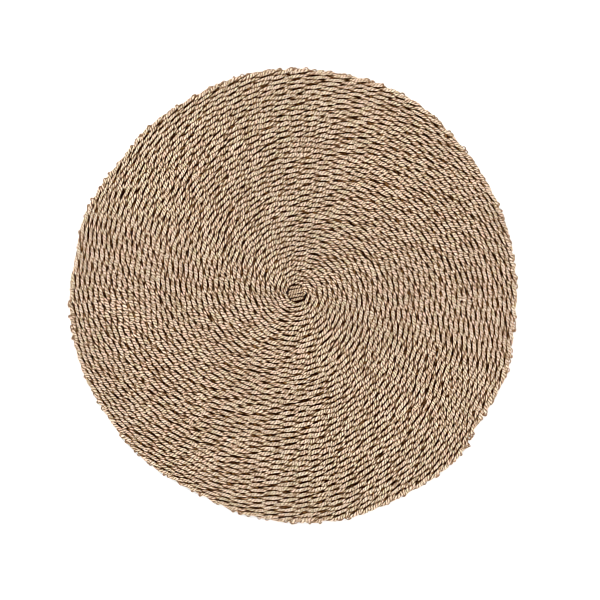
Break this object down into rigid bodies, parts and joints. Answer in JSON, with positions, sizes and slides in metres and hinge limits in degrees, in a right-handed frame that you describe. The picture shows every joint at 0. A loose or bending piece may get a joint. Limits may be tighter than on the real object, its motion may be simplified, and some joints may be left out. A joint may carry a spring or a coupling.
{
  "type": "round sisal rug",
  "caption": "Flat round rug of natural sisal cord, twined in a spiral from its centre, with an uneven rim.",
  "frame": {"origin": "under the middle of the rug, on the surface that it lies on: the centre of the bounding box's lower face", "axes": "+Z up out of the rug's face; +X to the right and +Y up in the picture, which looks straight down"},
  "size_m": [1.194, 1.2126, 0.015],
  "materials": {
    "sisal": "undyed two-ply sisal cord, straw to light brown, matt with a faint fibre sheen"
  },
  "bodies": {
    "root": {"twined_mat": "sisal"}
  },
  "joints": []
}
